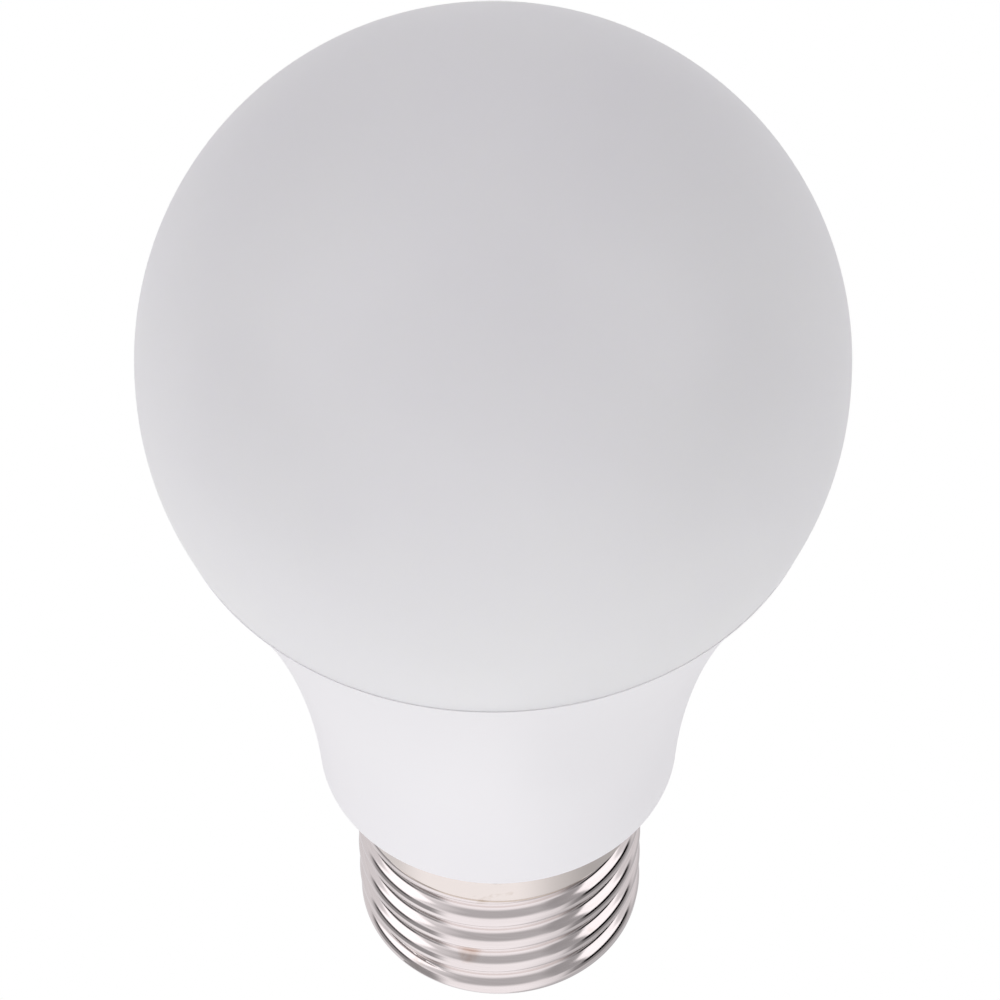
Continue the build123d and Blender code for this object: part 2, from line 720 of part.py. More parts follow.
def chip(x, z, pin_pairs):
    """Small outline chip with gull-wing legs along both long sides."""
    leg_pitch = 1.27
    leg_width = 0.42
    stand_off = 0.12
    body = on_front(x, z, 3.9, leg_pitch * pin_pairs, 1.3, DRIVER_FRONT - stand_off)
    body = chamfer(body.faces().sort_by(Axis.Y)[0].edges(), 0.25)
    legs = []
    for i in range(pin_pairs):
        leg_z = z + leg_pitch * (i - (pin_pairs - 1) / 2)
        for side in (-1, 1):
            legs.append(on_front(x + side * 2.65, leg_z, 0.7, leg_width, 0.2))
            legs.append(on_front(x + side * 2.2, leg_z, 0.25, leg_width, 0.85))
    return body + legs


def inductor_drum():
    """Ferrite drum: two flanges on a core."""
    x, y, bottom, radius, height = INDUCTOR
    drum = post(x, y, bottom, INDUCTOR_CORE, height)
    for z in (bottom, bottom + height - INDUCTOR_FLANGE):
        flange = post(x, y, z, radius, INDUCTOR_FLANGE)
        drum += fillet(flange.edges().filter_by(GeomType.CIRCLE), 0.2)
    return drum


def inductor_winding():
    """Enamelled wire wound on the drum, its turns standing out as ridges."""
    x, y, bottom, radius, height = INDUCTOR
    room = height - 2 * INDUCTOR_FLANGE - 2 * FIT
    turns = int(room / (2 * INDUCTOR_WIRE))
    pitch = room / turns
    inner = INDUCTOR_CORE + FIT
    outer = radius - 2 * INDUCTOR_WIRE
    ridges = [
        ThreePointArc(
            (outer, pitch * i),
            (outer + INDUCTOR_WIRE, pitch * (i + 0.5)),
            (outer, pitch * (i + 1)),
        )
        for i in range(turns)
    ]
    coil = turned(*lines((outer, room), (inner, room), (inner, 0), (outer, 0)), *ridges)
    return Pos(x, y, bottom + INDUCTOR_FLANGE + FIT) * coil


def film_capacitor():
    """Moulded box capacitor."""
    x, z = -5.0, 41.5
    body = on_front(x, z, 9.0, 8.5, 4.6)
    return fillet(body.edges().filter_by(Axis.Y), 0.5)


def transformer_core():
    """Ferrite core with a centre leg and two windows."""
    width = CORE_LEG + 2 * WINDOW + 2 * CORE_SIDE
    core = Box(width, CORE_DEPTH, WINDOW_HEIGHT + 4)
    for side in (-1, 1):
        core -= Pos(side * (CORE_LEG + WINDOW) / 2, 0, 0) * Box(WINDOW, CORE_DEPTH * 2, WINDOW_HEIGHT)
    return Pos(*TRANSFORMER) * core


def spool(width, depth, height):
    """Hollow block that slips over the core's centre leg."""
    return Box(width, depth, height) - Box(CORE_LEG + 0.2, CORE_DEPTH + 0.2, height * 2)


def transformer_bobbin():
    """Former between the two end flanges that hold the winding."""
    bobbin = spool(CORE_LEG + BOBBIN_WALLS, CORE_DEPTH + BOBBIN_WALLS, BOBBIN_HEIGHT)
    for side in (-1, 1):
        offset = side * (BOBBIN_HEIGHT - BOBBIN_FLANGE) / 2
        flange = spool(CORE_LEG + 2 * WINDOW - 0.2, CORE_DEPTH + BOBBIN_REACH, BOBBIN_FLANGE)
        bobbin += Pos(0, 0, offset) * flange
    return Pos(*TRANSFORMER) * bobbin


def transformer_winding():
    """Taped winding that fills the bobbin."""
    height = BOBBIN_HEIGHT - 2 * BOBBIN_FLANGE
    coil = Box(CORE_LEG + 2 * WINDOW - 0.6, CORE_DEPTH + BOBBIN_REACH - 0.4, height)
    coil = fillet(coil.edges().filter_by(Axis.Z), 2.0)
    coil -= Box(CORE_LEG + BOBBIN_WALLS, CORE_DEPTH + BOBBIN_WALLS, height * 2)
    return Pos(*TRANSFORMER) * coil


def surface_mount_parts():
    """Rows of small resistors and capacitors."""
    width, length, height = 1.2, 2.0, 0.5
    spacing = 2.5
    parts = []
    for first_x, z in ((1.5, 19.0), (-7.5, 32.0)):
        for i in range(3):
            parts.append(on_front(first_x + spacing * i, z, width, length, height))
    for z in (46.2, 48.0):
        parts.append(on_front(9.4, z, length, width, height))
    return Compound(parts)


# --- Wires --------------------------------------------------------------------------------------
def wire(route, bends):
    """Insulated wire along straight runs joined by arcs."""
    path = FilletPolyline(*route, radius=bends)
    start = Plane(origin=path @ 0, z_dir=path % 0)
    return sweep(start * Circle(WIRE_RADIUS), path=path)


def live_wire():
    """From the front of the driver board down into the contact's rivet."""
    front = DRIVER_FRONT - WIRE_RADIUS
    route = [(1.5, front, 17.0), (1.5, front, 11.8), (0, 0, 8.6), (0, 0, RIVET_FLOOR + 0.1)]
    return wire(route, [2.0, 2.0])


def neutral_wire():
    """From the back of the driver board up the outside of the neck, where the shell grips it."""
    back = DRIVER_BACK + WIRE_RADIUS
    wall = -(NECK_TIP_RADIUS - WIRE_RADIUS - FIT)
    route = [(-4, back, 17.0), (-4, back, 12.0), (wall, 0, 11.0), (wall, 0, 17.5)]
    return wire(route, [2.2, 2.2])


# --- Parts list ---------------------------------------------------------------------------------
PARTS = {
    "globe_diffuser": globe_diffuser(),
    "diffuser_sealant": diffuser_sealant(),
    "housing_shell": housing_shell(),
    "cap_shell": cap_shell(),
    "cap_insulator": cap_insulator(),
    "centre_contact": centre_contact(),
    "heat_sink_cup": heat_sink_cup(),
    "thermal_pad": thermal_pad(),
    "led_board": led_board(),
    "cool_white_leds": white_leds(11.25),
    "warm_white_leds": white_leds(33.75),
    "colour_leds": colour_leds(),
    "board_screws": board_screws(),
    "board_socket": board_socket(),
    "header_pins": header_pins(),
    "header_block": header_block(),
    "radio_module_board": radio_module_board(),
    "radio_shield_can": radio_shield_can(),
    "radio_crystal": radio_crystal(),
    "radio_antenna": radio_antenna(),
    "driver_liner": driver_liner(),
    "driver_board": driver_board(),
    "input_capacitor": electrolytic(INPUT_CAN),
    "output_capacitor": electrolytic(OUTPUT_CAN),
    "film_capacitor": film_capacitor(),
    "fuse_resistor": fuse_resistor(),
    "component_leads": component_leads(),
    "bridge_rectifier": bridge_rectifier(),
    "driver_chip": chip(4.8, 32.0, 4),
    "colour_driver_chip": chip(7.4, 53.0, 5),
    "inductor_drum": inductor_drum(),
    "inductor_winding": inductor_winding(),
    "transformer_core": transformer_core(),
    "transformer_bobbin": transformer_bobbin(),
    "transformer_winding": transformer_winding(),
    "surface_mount_parts": surface_mount_parts(),
    "live_wire": live_wire(),
    "neutral_wire": neutral_wire(),
}

os.makedirs("parts", exist_ok=True)
for name, shape in PARTS.items():
    export_step(shape, f"parts/{name}.step")
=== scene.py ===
import json
import math

import bmesh
import bpy
from mathutils import Matrix, Vector


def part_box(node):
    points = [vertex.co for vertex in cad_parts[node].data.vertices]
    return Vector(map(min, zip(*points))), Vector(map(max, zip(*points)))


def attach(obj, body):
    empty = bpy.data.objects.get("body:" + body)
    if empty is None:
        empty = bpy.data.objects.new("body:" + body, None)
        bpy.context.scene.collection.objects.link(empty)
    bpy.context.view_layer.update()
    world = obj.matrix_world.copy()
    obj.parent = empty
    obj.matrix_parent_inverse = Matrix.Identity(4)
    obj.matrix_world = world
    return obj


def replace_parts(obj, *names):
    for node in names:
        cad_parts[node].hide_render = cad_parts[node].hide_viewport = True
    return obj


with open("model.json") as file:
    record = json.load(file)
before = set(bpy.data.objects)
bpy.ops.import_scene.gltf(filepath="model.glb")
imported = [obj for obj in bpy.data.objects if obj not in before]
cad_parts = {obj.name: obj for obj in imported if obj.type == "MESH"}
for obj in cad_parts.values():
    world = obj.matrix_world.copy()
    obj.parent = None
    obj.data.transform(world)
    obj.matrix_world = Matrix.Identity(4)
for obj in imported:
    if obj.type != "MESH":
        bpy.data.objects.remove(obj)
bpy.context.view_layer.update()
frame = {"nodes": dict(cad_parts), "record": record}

# Smart light bulb. Metres, in the CAD model's frame: the origin is the tip of the centre contact,
# +Z runs up the bulb's axis and the front of the bulb faces -Y.

MM = 0.001
TURN = 2 * math.pi


# --- Sizes read from the frame ------------------------------------------------------------------
def node_radius(node):
    low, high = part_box(node)
    return min(-low.x, high.x, -low.y, high.y)


def node_bottom(node):
    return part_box(node)[0].z


def node_top(node):
    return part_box(node)[1].z


GLOBE_RADIUS = node_radius("globe_diffuser")
GLOBE_TOP = node_top("globe_diffuser")
PLUG_BOTTOM = node_bottom("globe_diffuser")
SEAM_Z = node_top("housing_shell")
NECK_BOTTOM = node_bottom("housing_shell")
LIP_Z = node_top("cap_shell")
CAP_BOTTOM = node_bottom("cap_shell")

# Sizes that the frame's boxes don't give
GLOBE_BAND = 0.8 * MM  # straight band at the widest place
GLOBE_WALL = 1.2 * MM
PLUG_RADIUS = 24.9 * MM
RIM_RADIUS = 28.0 * MM  # of the body at the seam
BODY_WALL = 1.5 * MM
LIP_RADIUS = 16.25 * MM
FLARE_RADIUS = 97.0 * MM
NECK_RADIUS = 12.75 * MM
NECK_TIP_RADIUS = 11.7 * MM
NECK_BORE = 10.5 * MM
EDGE = 0.1 * MM  # rounding of the moulded edges

THREAD_RADIUS = 13.15 * MM  # over the crests, and of the plain skirt
THREAD_PITCH = 3.629 * MM
THREAD_CORE = 12.2 * MM
CREST_ROUND = 1.03 * MM
ROOT_ROUND = 1.05 * MM
CREST_Z = 17.8 * MM  # height of one crest on the front of the cap
CAP_SHEET = 0.35 * MM
SKIRT_BOTTOM = 21.35 * MM
ROLL_ROUND = 1.0 * MM
ROLL_RADIUS = 13.05 * MM
FLANGE_BORE = 10.4 * MM
PUNCH_Z = 24.4 * MM
PUNCH_COUNT = 4
PUNCH_DEPTH = 0.3 * MM
PUNCH_SPREAD = 0.42 * MM
RUB_MARK = (-3.0 * MM, -12.2 * MM, 12.2 * MM)  # brownish rub mark on the thread
RUB_RADIUS = 1.1 * MM

CONTACT_FLAT = 2.6 * MM
CONTACT_SWELL = (4.2 * MM, 0.32 * MM)  # radius and height of a point between flat and shoulder
CONTACT_SHOULDER = 0.9 * MM
CONTACT_ROUND = 0.3 * MM
RIVET_RADIUS = 1.5 * MM
RIVET_BORE = 0.75 * MM
RIVET_FLOOR = 3 * MM  # bottom of the hole for the live wire
RIVET_HOLE = 1.55 * MM  # hole for the rivet in the insulator
INSULATOR_FOOT = 5.6 * MM
INSULATOR_STEP = 0.8 * MM  # how far the insulator stands out below the flange before it tapers
INSULATOR_GAP = 0.1 * MM
INSULATOR_DISH = 6.5 * MM  # radius where the dished top starts
INSULATOR_BOSS = 3.2 * MM
INSULATOR_FLOOR = 2.4 * MM  # thickness round the rivet
INSULATOR_ROUND = 0.5 * MM

NEAR = 0.05 * MM  # how close two sizes count as the same
ON_AXIS = 1e-7
SMOOTH_ANGLE = math.radians(38)  # sharper edges than this stay sharp
CAD_SMOOTH_ANGLE = math.radians(30)


# --- Mesh helpers -------------------------------------------------------------------------------
def arc(centre, radius, start, end, count):
    """Points on a circle in the (radius, height) plane, angles in degrees."""
    points = []
    for i in range(count + 1):
        angle = math.radians(start + (end - start) * i / count)
        points.append((centre[0] + radius * math.cos(angle), centre[1] + radius * math.sin(angle)))
    return points


def run(start, end, count):
    """Evenly spaced points from start to end."""
    steps = [i / count for i in range(count + 1)]
    return [(start[0] + (end[0] - start[0]) * t, start[1] + (end[1] - start[1]) * t) for t in steps]


def joined(*stretches):
    """One outline from several stretches, without doubled points."""
    outline = []
    for stretch in stretches:
        for point in stretch:
            if not outline or math.dist(outline[-1], point) > ON_AXIS:
                outline.append(point)
    return outline


def rounded(corners, steps=5):
    """Outline through (radius, height, rounding) corners; the ends aren't rounded."""
    outline = [corners[0][:2]]
    for before, corner, after in zip(corners, corners[1:], corners[2:]):
        here = Vector(corner[:2])
        back = Vector(before[:2]) - here
        ahead = Vector(after[:2]) - here
        reach = corner[2] if len(corner) > 2 else 0.0
        if reach <= 0:
            outline.append(tuple(here))
            continue
        reach = min(reach, back.length * 0.49, ahead.length * 0.49)
        first = here + back.normalized() * reach
        last = here + ahead.normalized() * reach
        for i in range(steps + 1):
            t = i / steps
            point = first * (1 - t) ** 2 + here * 2 * t * (1 - t) + last * t**2
            outline.append(tuple(point))
    outline.append(corners[-1][:2])
    return outline


def ring(bm, radius, height, segments, shape):
    """Vertices of one row, or the one vertex of a row that lies on the axis."""
    if radius < ON_AXIS:
        return [bm.verts.new((0, 0, height))]
    row = []
    for i in range(segments):
        angle = TURN * i / segments
        reach = shape(radius, height, angle) if shape else radius
        row.append(bm.verts.new((reach * math.cos(angle), reach * math.sin(angle), height)))
    return row


def bridge(bm, lower, upper, segments):
    """Faces between two rows: a band, or a fan where one row is a single vertex."""
    for i in range(segments):
        after = (i + 1) % segments
        if len(lower) == 1:
            bm.faces.new((lower[0], upper[after], upper[i]))
        elif len(upper) == 1:
            bm.faces.new((lower[i], lower[after], upper[0]))
        else:
            bm.faces.new((lower[i], lower[after], upper[after], upper[i]))


def turned(name, outline, segments, closed=False, shape=None):
    """Mesh turned about the axis. shape(radius, height, angle) may change a point's radius."""
    bm = bmesh.new()
    rows = [ring(bm, radius, height, segments, shape) for radius, height in outline]
    pairs = list(zip(rows, rows[1:]))
    if closed:
        pairs.append((rows[-1], rows[0]))
    for lower, upper in pairs:
        if len(lower) > 1 or len(upper) > 1:
            bridge(bm, lower, upper, segments)
    bmesh.ops.recalc_face_normals(bm, faces=bm.faces)
    return finished(name, bm)


def finished(name, bm):
    """Object from a bmesh, smooth apart from its sharp edges."""
    mesh = bpy.data.meshes.new(name)
    bm.to_mesh(mesh)
    bm.free()
    for polygon in mesh.polygons:
        polygon.use_smooth = True
    mesh.set_sharp_from_angle(angle=SMOOTH_ANGLE)
    piece = bpy.data.objects.new(name, mesh)
    bpy.context.scene.collection.objects.link(piece)
    return piece


# --- Material helpers ---------------------------------------------------------------------------
class Tree:
    """A node tree being built."""

    def __init__(self, tree):
        self.tree = tree

    def node(self, kind, **inputs):
        made = self.tree.nodes.new(kind)
        for name, value in inputs.items():
            made.inputs[name].default_value = value
        return made

    def link(self, source, target):
        self.tree.links.new(source, target)

    def feed(self, value, target):
        """Sets a socket to a number, or links another socket to it."""
        if isinstance(value, (int, float)):
            target.default_value = value
        else:
            self.link(value, target)

    def maths(self, operation, first, second):
        made = self.node("ShaderNodeMath")
        made.operation = operation
        self.feed(first, made.inputs[0])
        self.feed(second, made.inputs[1])
        return made.outputs[0]

    def blend(self, amount, first, second):
        """Number between first and second."""
        made = self.node("ShaderNodeMix")
        self.link(amount, made.inputs["Factor"])
        self.feed(first, made.inputs["A"])
        self.feed(second, made.inputs["B"])
        return made.outputs["Result"]

    def distance(self, place, centre):
        made = self.node("ShaderNodeVectorMath")
        made.operation = "DISTANCE"
        self.link(place, made.inputs[0])
        made.inputs[1].default_value = centre
        return made.outputs["Value"]

    def smoothstep(self, source, start, end, low=0.0, high=1.0):
        """Goes smoothly from low to high while the source goes from start to end."""
        made = self.node("ShaderNodeMapRange")
        made.interpolation_type = "SMOOTHSTEP"
        sizes = {"From Min": start, "From Max": end, "To Min": low, "To Max": high}
        for name, value in sizes.items():
            made.inputs[name].default_value = value
        self.link(source, made.inputs["Value"])
        return made.outputs["Result"]


class Surface(Tree):
    """A node material being built: its tree, its shader and its object coordinates."""

    def __init__(self, name, colour, roughness, metallic=0.0):
        self.material = bpy.data.materials.new(name)
        self.material.use_nodes = True
        super().__init__(self.material.node_tree)
        self.shader = self.tree.nodes["Principled BSDF"]
        self.set("Base Color", (*colour, 1))
        self.set("Roughness", roughness)
        self.set("Metallic", metallic)
        self.place = self.node("ShaderNodeTexCoord").outputs["Object"]
        self.height = None

    def set(self, name, value):
        self.shader.inputs[name].default_value = value

    def scaled(self, scale):
        """Object coordinates stretched along each axis."""
        mapping = self.node("ShaderNodeMapping", Scale=scale)
        self.link(self.place, mapping.inputs["Vector"])
        return mapping.outputs["Vector"]

    def noise(self, scale, detail=3.0, roughness=0.5, vector=None):
        made = self.node("ShaderNodeTexNoise", Scale=scale, Detail=detail, Roughness=roughness)
        self.link(vector or self.place, made.inputs["Vector"])
        return made.outputs["Fac"]

    def above(self, height):
        """1 above a height and 0 below it."""
        split = self.node("ShaderNodeSeparateXYZ")
        self.link(self.place, split.inputs[0])
        return self.maths("GREATER_THAN", split.outputs["Z"], height)

    def spot(self, centre, radius):
        """1 in the middle of a spot and 0 outside it, with a ragged soft edge."""
        ragged = self.maths("MULTIPLY", self.noise(1100), radius)
        away = self.maths("ADD", self.distance(self.place, centre), ragged)
        return self.smoothstep(away, radius * 1.9, radius * 0.9)

    def ramp(self, source, *stops):
        """Colour ramp; each stop is (position, value) or (position, colour)."""
        made = self.node("ShaderNodeValToRGB")
        elements = made.color_ramp.elements
        while len(elements) < len(stops):
            elements.new(0.5)
        for element, (position, value) in zip(elements, stops):
            element.position = position
            colour = value if isinstance(value, tuple) else (value, value, value)
            element.color = (*colour, 1)
        self.link(source, made.inputs["Fac"])
        return made.outputs["Color"]

    def colour(self, source):
        self.link(source, self.shader.inputs["Base Color"])

    def roughness(self, source):
        self.link(source, self.shader.inputs["Roughness"])

    def mix(self, amount, first, second):
        """Colour between first and second; each is a colour or a socket."""
        made = self.node("ShaderNodeMix")
        made.data_type = "RGBA"
        self.link(amount, made.inputs["Factor"])
        # The colour sockets share their names with the number sockets, so they go by place
        for socket, value in ((made.inputs[6], first), (made.inputs[7], second)):
            if isinstance(value, tuple):
                socket.default_value = (*value, 1)
            else:
                self.link(value, socket)
        return made.outputs[2]

    def bump(self, source, strength, distance):
        made = self.node("ShaderNodeBump", Strength=strength, Distance=distance)
        self.link(source, made.inputs["Height"])
        if self.height:
            self.link(self.height, made.inputs["Normal"])
        self.height = made.outputs["Normal"]
        self.link(self.height, self.shader.inputs["Normal"])


def dress(piece, surface):
    piece.data.materials.clear()
    piece.data.materials.append(surface.material)


# --- Materials of the outer pieces --------------------------------------------------------------
def globe_plastic():
    """Milky satin plastic: light scatters a little way in, with a very fine moulded texture."""
    surface = Surface("globe_plastic", (0.84, 0.84, 0.84), 0.42)
    cloud = surface.noise(55, 2)
    surface.colour(surface.ramp(cloud, (0.3, (0.83, 0.828, 0.836)), (0.7, (0.85, 0.852, 0.848))))
    surface.roughness(surface.ramp(surface.noise(220, 3), (0.3, 0.38), (0.7, 0.46)))
    surface.bump(surface.noise(2600, 2), 0.08, 0.00004)
    surface.set("IOR", 1.49)
    surface.set("Coat Weight", 0.2)
    surface.set("Coat Roughness", 0.3)
    surface.set("Subsurface Weight", 0.35)
    surface.set("Subsurface Radius", (1.0, 1.0, 0.9))
    surface.set("Subsurface Scale", 0.003)
    return surface


def body_plastic():
    """Smooth white moulded body with a faint flow texture and a trace of handling."""
    surface = Surface("body_plastic", (0.88, 0.87, 0.885), 0.32)
    cloud = surface.noise(40, 3)
    surface.colour(surface.ramp(cloud, (0.3, (0.87, 0.86, 0.878)), (0.7, (0.886, 0.878, 0.89))))
    surface.roughness(surface.ramp(surface.noise(160, 4), (0.3, 0.28), (0.7, 0.38)))
    surface.bump(surface.noise(1800, 2), 0.1, 0.00004)
    surface.set("IOR", 1.5)
    return surface


def cap_nickel():
    """Bright nickel plating with fine drawing marks round the shell and a little tarnish."""
    surface = Surface("cap_nickel", (0.83, 0.78, 0.75), 0.1, 1.0)
    marks = surface.noise(1.0, 3, 0.5, surface.scaled((90, 90, 9000)))
    stain = surface.ramp(surface.noise(190, 4, 0.6), (0.68, 0.0), (0.78, 1.0))
    plating = surface.ramp(marks, (0.3, (0.80, 0.742, 0.72)), (0.7, (0.86, 0.806, 0.785)))
    plating = surface.mix(surface.above(SKIRT_BOTTOM), plating, (0.82, 0.762, 0.71))
    worn = surface.mix(stain, plating, (0.66, 0.58, 0.50))
    surface.colour(surface.mix(surface.spot(RUB_MARK, RUB_RADIUS), worn, (0.68, 0.56, 0.50)))
    surface.roughness(surface.ramp(surface.noise(320, 4), (0.3, 0.08), (0.72, 0.13)))
    surface.bump(marks, 0.008, 0.000004)
    surface.bump(surface.noise(200, 2), 0.08, 0.00003)
    return surface


def contact_metal():
    """Tinned contact with turning marks and rubbed patches."""
    surface = Surface("contact_metal", (0.74, 0.71, 0.66), 0.3, 1.0)
    patches = surface.noise(700, 4)
    surface.colour(surface.ramp(patches, (0.35, (0.66, 0.62, 0.56)), (0.65, (0.80, 0.78, 0.74))))
    surface.roughness(surface.ramp(patches, (0.3, 0.24), (0.7, 0.42)))
    surface.bump(surface.noise(2500, 3), 0.25, 0.00005)
    return surface


def insulator_glass():
    """Black vitreous insulator with a rippled skin."""
    surface = Surface("insulator_glass", (0.012, 0.012, 0.014), 0.12)
    ripple = surface.noise(260, 3)
    surface.colour(surface.ramp(ripple, (0.3, (0.009, 0.009, 0.011)), (0.75, (0.022, 0.021, 0.024))))
    surface.roughness(surface.ramp(surface.noise(500, 3), (0.3, 0.08), (0.7, 0.22)))
    surface.bump(ripple, 0.3, 0.0001)
    surface.set("IOR", 1.52)
    return surface


# --- Outer pieces -------------------------------------------------------------------------------
def globe_outline():
    """Half section of the globe: outer dome, foot, plug-in skirt and inner dome."""
    upper = (0, GLOBE_TOP - GLOBE_RADIUS)
    lower = (0, upper[1] - GLOBE_BAND)
    inner = GLOBE_RADIUS - GLOBE_WALL
    flange_top = SEAM_Z + GLOBE_WALL
    drop = math.degrees(math.asin((lower[1] - SEAM_Z) / GLOBE_RADIUS))
    inner_drop = math.degrees(math.asin((lower[1] - flange_top) / inner))
    edge = GLOBE_RADIUS * math.cos(math.radians(drop))
    inner_edge = inner * math.cos(math.radians(inner_drop))
    skirt_inner = PLUG_RADIUS - GLOBE_WALL
    below_band = arc(lower, GLOBE_RADIUS, 0, -drop + 0.6, 28)
    return joined(
        arc(upper, GLOBE_RADIUS, 90, 0, 96),
        below_band,
        rounded(
            [
                below_band[-1],
                (edge, SEAM_Z),
                (PLUG_RADIUS, SEAM_Z),
                (PLUG_RADIUS, PLUG_BOTTOM, EDGE),
                (skirt_inner, PLUG_BOTTOM, EDGE),
                (skirt_inner, flange_top, EDGE),
                (inner_edge, flange_top),
            ]
        ),
        arc(lower, inner, -inner_drop, 0, 24),
        arc(upper, inner, 0, 90, 64),
    )


def globe_diffuser():
    """Thin globe with a flange and a short skirt that plugs into the body."""
    piece = turned("globe_diffuser_shell", globe_outline(), 256)
    dress(piece, globe_plastic())
    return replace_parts(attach(piece, "root"), "globe_diffuser")


def flare_centre():
    """Centre of the circle that the body's flank follows."""
    half = Vector((RIM_RADIUS - LIP_RADIUS, SEAM_Z - LIP_Z)) / 2
    reach = math.sqrt(FLARE_RADIUS**2 - half.length_squared)
    across = Vector((half.y, -half.x)).normalized()
    return Vector((LIP_RADIUS, LIP_Z)) + half + across * reach


def flank(start_z, end_z, inset, count):
    """Points down or up the body's flank, moved inwards by inset."""
    centre = flare_centre()
    radius = FLARE_RADIUS + inset
    points = []
    for i in range(count + 1):
        z = start_z + (end_z - start_z) * i / count
        points.append((centre.x - math.sqrt(radius**2 - (z - centre.y) ** 2), z))
    return points


def housing_outline():
    """Half section of the body: rim, flank, lip, spigot, bore and inner wall."""
    floor_z = LIP_Z + BODY_WALL
    step_z = SKIRT_BOTTOM + CAP_SHEET * 2
    outer = flank(SEAM_Z - EDGE * 1.5, LIP_Z + EDGE * 1.5, 0, 96)
    inner = flank(floor_z, SEAM_Z - EDGE, BODY_WALL, 60)
    rim_bore = flank(SEAM_Z, LIP_Z, BODY_WALL, 1)[0][0]
    return joined(
        rounded([inner[-1], (rim_bore, SEAM_Z), (RIM_RADIUS, SEAM_Z, EDGE), outer[0]]),
        outer,
        rounded(
            [
                outer[-1],
                (LIP_RADIUS, LIP_Z, EDGE),
                (NECK_RADIUS, LIP_Z),
                (NECK_RADIUS, step_z, EDGE),
                (NECK_TIP_RADIUS, step_z),
                (NECK_TIP_RADIUS, NECK_BOTTOM, EDGE),
                (NECK_BORE, NECK_BOTTOM, EDGE),
                (NECK_BORE, floor_z, EDGE),
                inner[0],
            ]
        ),
        inner,
    )


def housing_shell():
    """Flared body with a rounded rim and lip and the spigot that the cap is fixed to."""
    piece = turned("housing_shell_body", housing_outline(), 256)
    dress(piece, body_plastic())
    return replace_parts(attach(piece, "root"), "housing_shell")


def thread_radius(height, angle):
    """Radius of the rolled thread: round crests and round roots along a right-hand helix."""
    crest_centre = THREAD_RADIUS - CREST_ROUND
    lean = math.asin(THREAD_PITCH / 2 / (CREST_ROUND + ROOT_ROUND))
    root_centre = crest_centre + (CREST_ROUND + ROOT_ROUND) * math.cos(lean)
    crest = CREST_Z + THREAD_PITCH * (angle / TURN + 0.25)
    offset = abs((height - crest + THREAD_PITCH / 2) % THREAD_PITCH - THREAD_PITCH / 2)
    if offset <= CREST_ROUND * math.sin(lean):
        return crest_centre + math.sqrt(CREST_ROUND**2 - offset**2)
    from_root = THREAD_PITCH / 2 - offset
    return max(THREAD_CORE, root_centre - math.sqrt(ROOT_ROUND**2 - from_root**2))


def cap_skin(radius, height, angle):
    """Radius of a point on the cap, with the thread and the punch marks on its outer skin."""
    if radius < THREAD_CORE - CAP_SHEET + NEAR:
        return radius
    if CAP_BOTTOM + ROLL_ROUND <= height <= SKIRT_BOTTOM + NEAR:
        return max(radius, thread_radius(height, angle))
    if radius > THREAD_RADIUS - CAP_SHEET + 2 * NEAR and height > SKIRT_BOTTOM + CAP_SHEET:
        step = TURN / PUNCH_COUNT
        aside = ((angle + step / 2) % step - step / 2) * radius
        away = math.hypot(aside, height - PUNCH_Z)
        return radius - PUNCH_DEPTH * math.exp(-((away / PUNCH_SPREAD) ** 4))
    return radius


def cap_outline():
    """Section of the cap's sheet, up the inside and back down the outside."""
    roll_z = CAP_BOTTOM + ROLL_ROUND
    roll_centre = (ROLL_RADIUS - ROLL_ROUND, roll_z)
    flange_top = CAP_BOTTOM + CAP_SHEET
    skirt_bore = THREAD_RADIUS - CAP_SHEET
    core_bore = THREAD_CORE - CAP_SHEET
    skirt_foot = SKIRT_BOTTOM + CAP_SHEET
    return joined(
        run((skirt_bore, LIP_Z), (skirt_bore, skirt_foot), 2),
        run((skirt_bore, skirt_foot), (core_bore, skirt_foot), 1),
        run((core_bore, skirt_foot), (core_bore, roll_z), 4),
        run((core_bore, roll_z), (FLANGE_BORE, flange_top), 3),
        run((FLANGE_BORE, flange_top), (FLANGE_BORE, CAP_BOTTOM), 1),
        run((FLANGE_BORE, CAP_BOTTOM), (roll_centre[0], CAP_BOTTOM), 3),
        arc(roll_centre, ROLL_ROUND, -90, 0, 14),
        arc(roll_centre, ROLL_ROUND, 0, 80, 12),
        run((THREAD_CORE, roll_z + ROLL_ROUND), (THREAD_CORE, SKIRT_BOTTOM), 190),
        run((THREAD_CORE, SKIRT_BOTTOM), (skirt_bore, SKIRT_BOTTOM), 2),
        arc((skirt_bore, skirt_foot), CAP_SHEET, -90, 0, 8),
        run((THREAD_RADIUS, skirt_foot), (THREAD_RADIUS, LIP_Z), 72),
    )


def cap_shell():
    """Threaded shell with a plain skirt above, a rolled edge below and punch marks."""
    piece = turned("cap_shell_thread", cap_outline(), 288, closed=True, shape=cap_skin)
    dress(piece, cap_nickel())
    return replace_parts(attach(piece, "root"), "cap_shell")


def cap_insulator():
    """Vitreous button between the shell and the contact."""
    low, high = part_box("cap_insulator")
    flange = CAP_BOTTOM + CAP_SHEET
    outline = rounded(
        [
            (RIVET_HOLE, low.z),
            (INSULATOR_FOOT, low.z, INSULATOR_ROUND),
            (FLANGE_BORE - INSULATOR_GAP, flange - INSULATOR_STEP, INSULATOR_ROUND),
            (FLANGE_BORE - INSULATOR_GAP, flange),
            (high.x, flange),
            (high.x, high.z, INSULATOR_ROUND),
            (INSULATOR_DISH, high.z, INSULATOR_ROUND),
            (INSULATOR_BOSS, low.z + INSULATOR_FLOOR, INSULATOR_ROUND),
            (RIVET_HOLE, low.z + INSULATOR_FLOOR),
        ]
    )
    piece = turned("cap_insulator_button", outline, 128, closed=True)
    dress(piece, insulator_glass())
    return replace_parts(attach(piece, "root"), "cap_insulator")


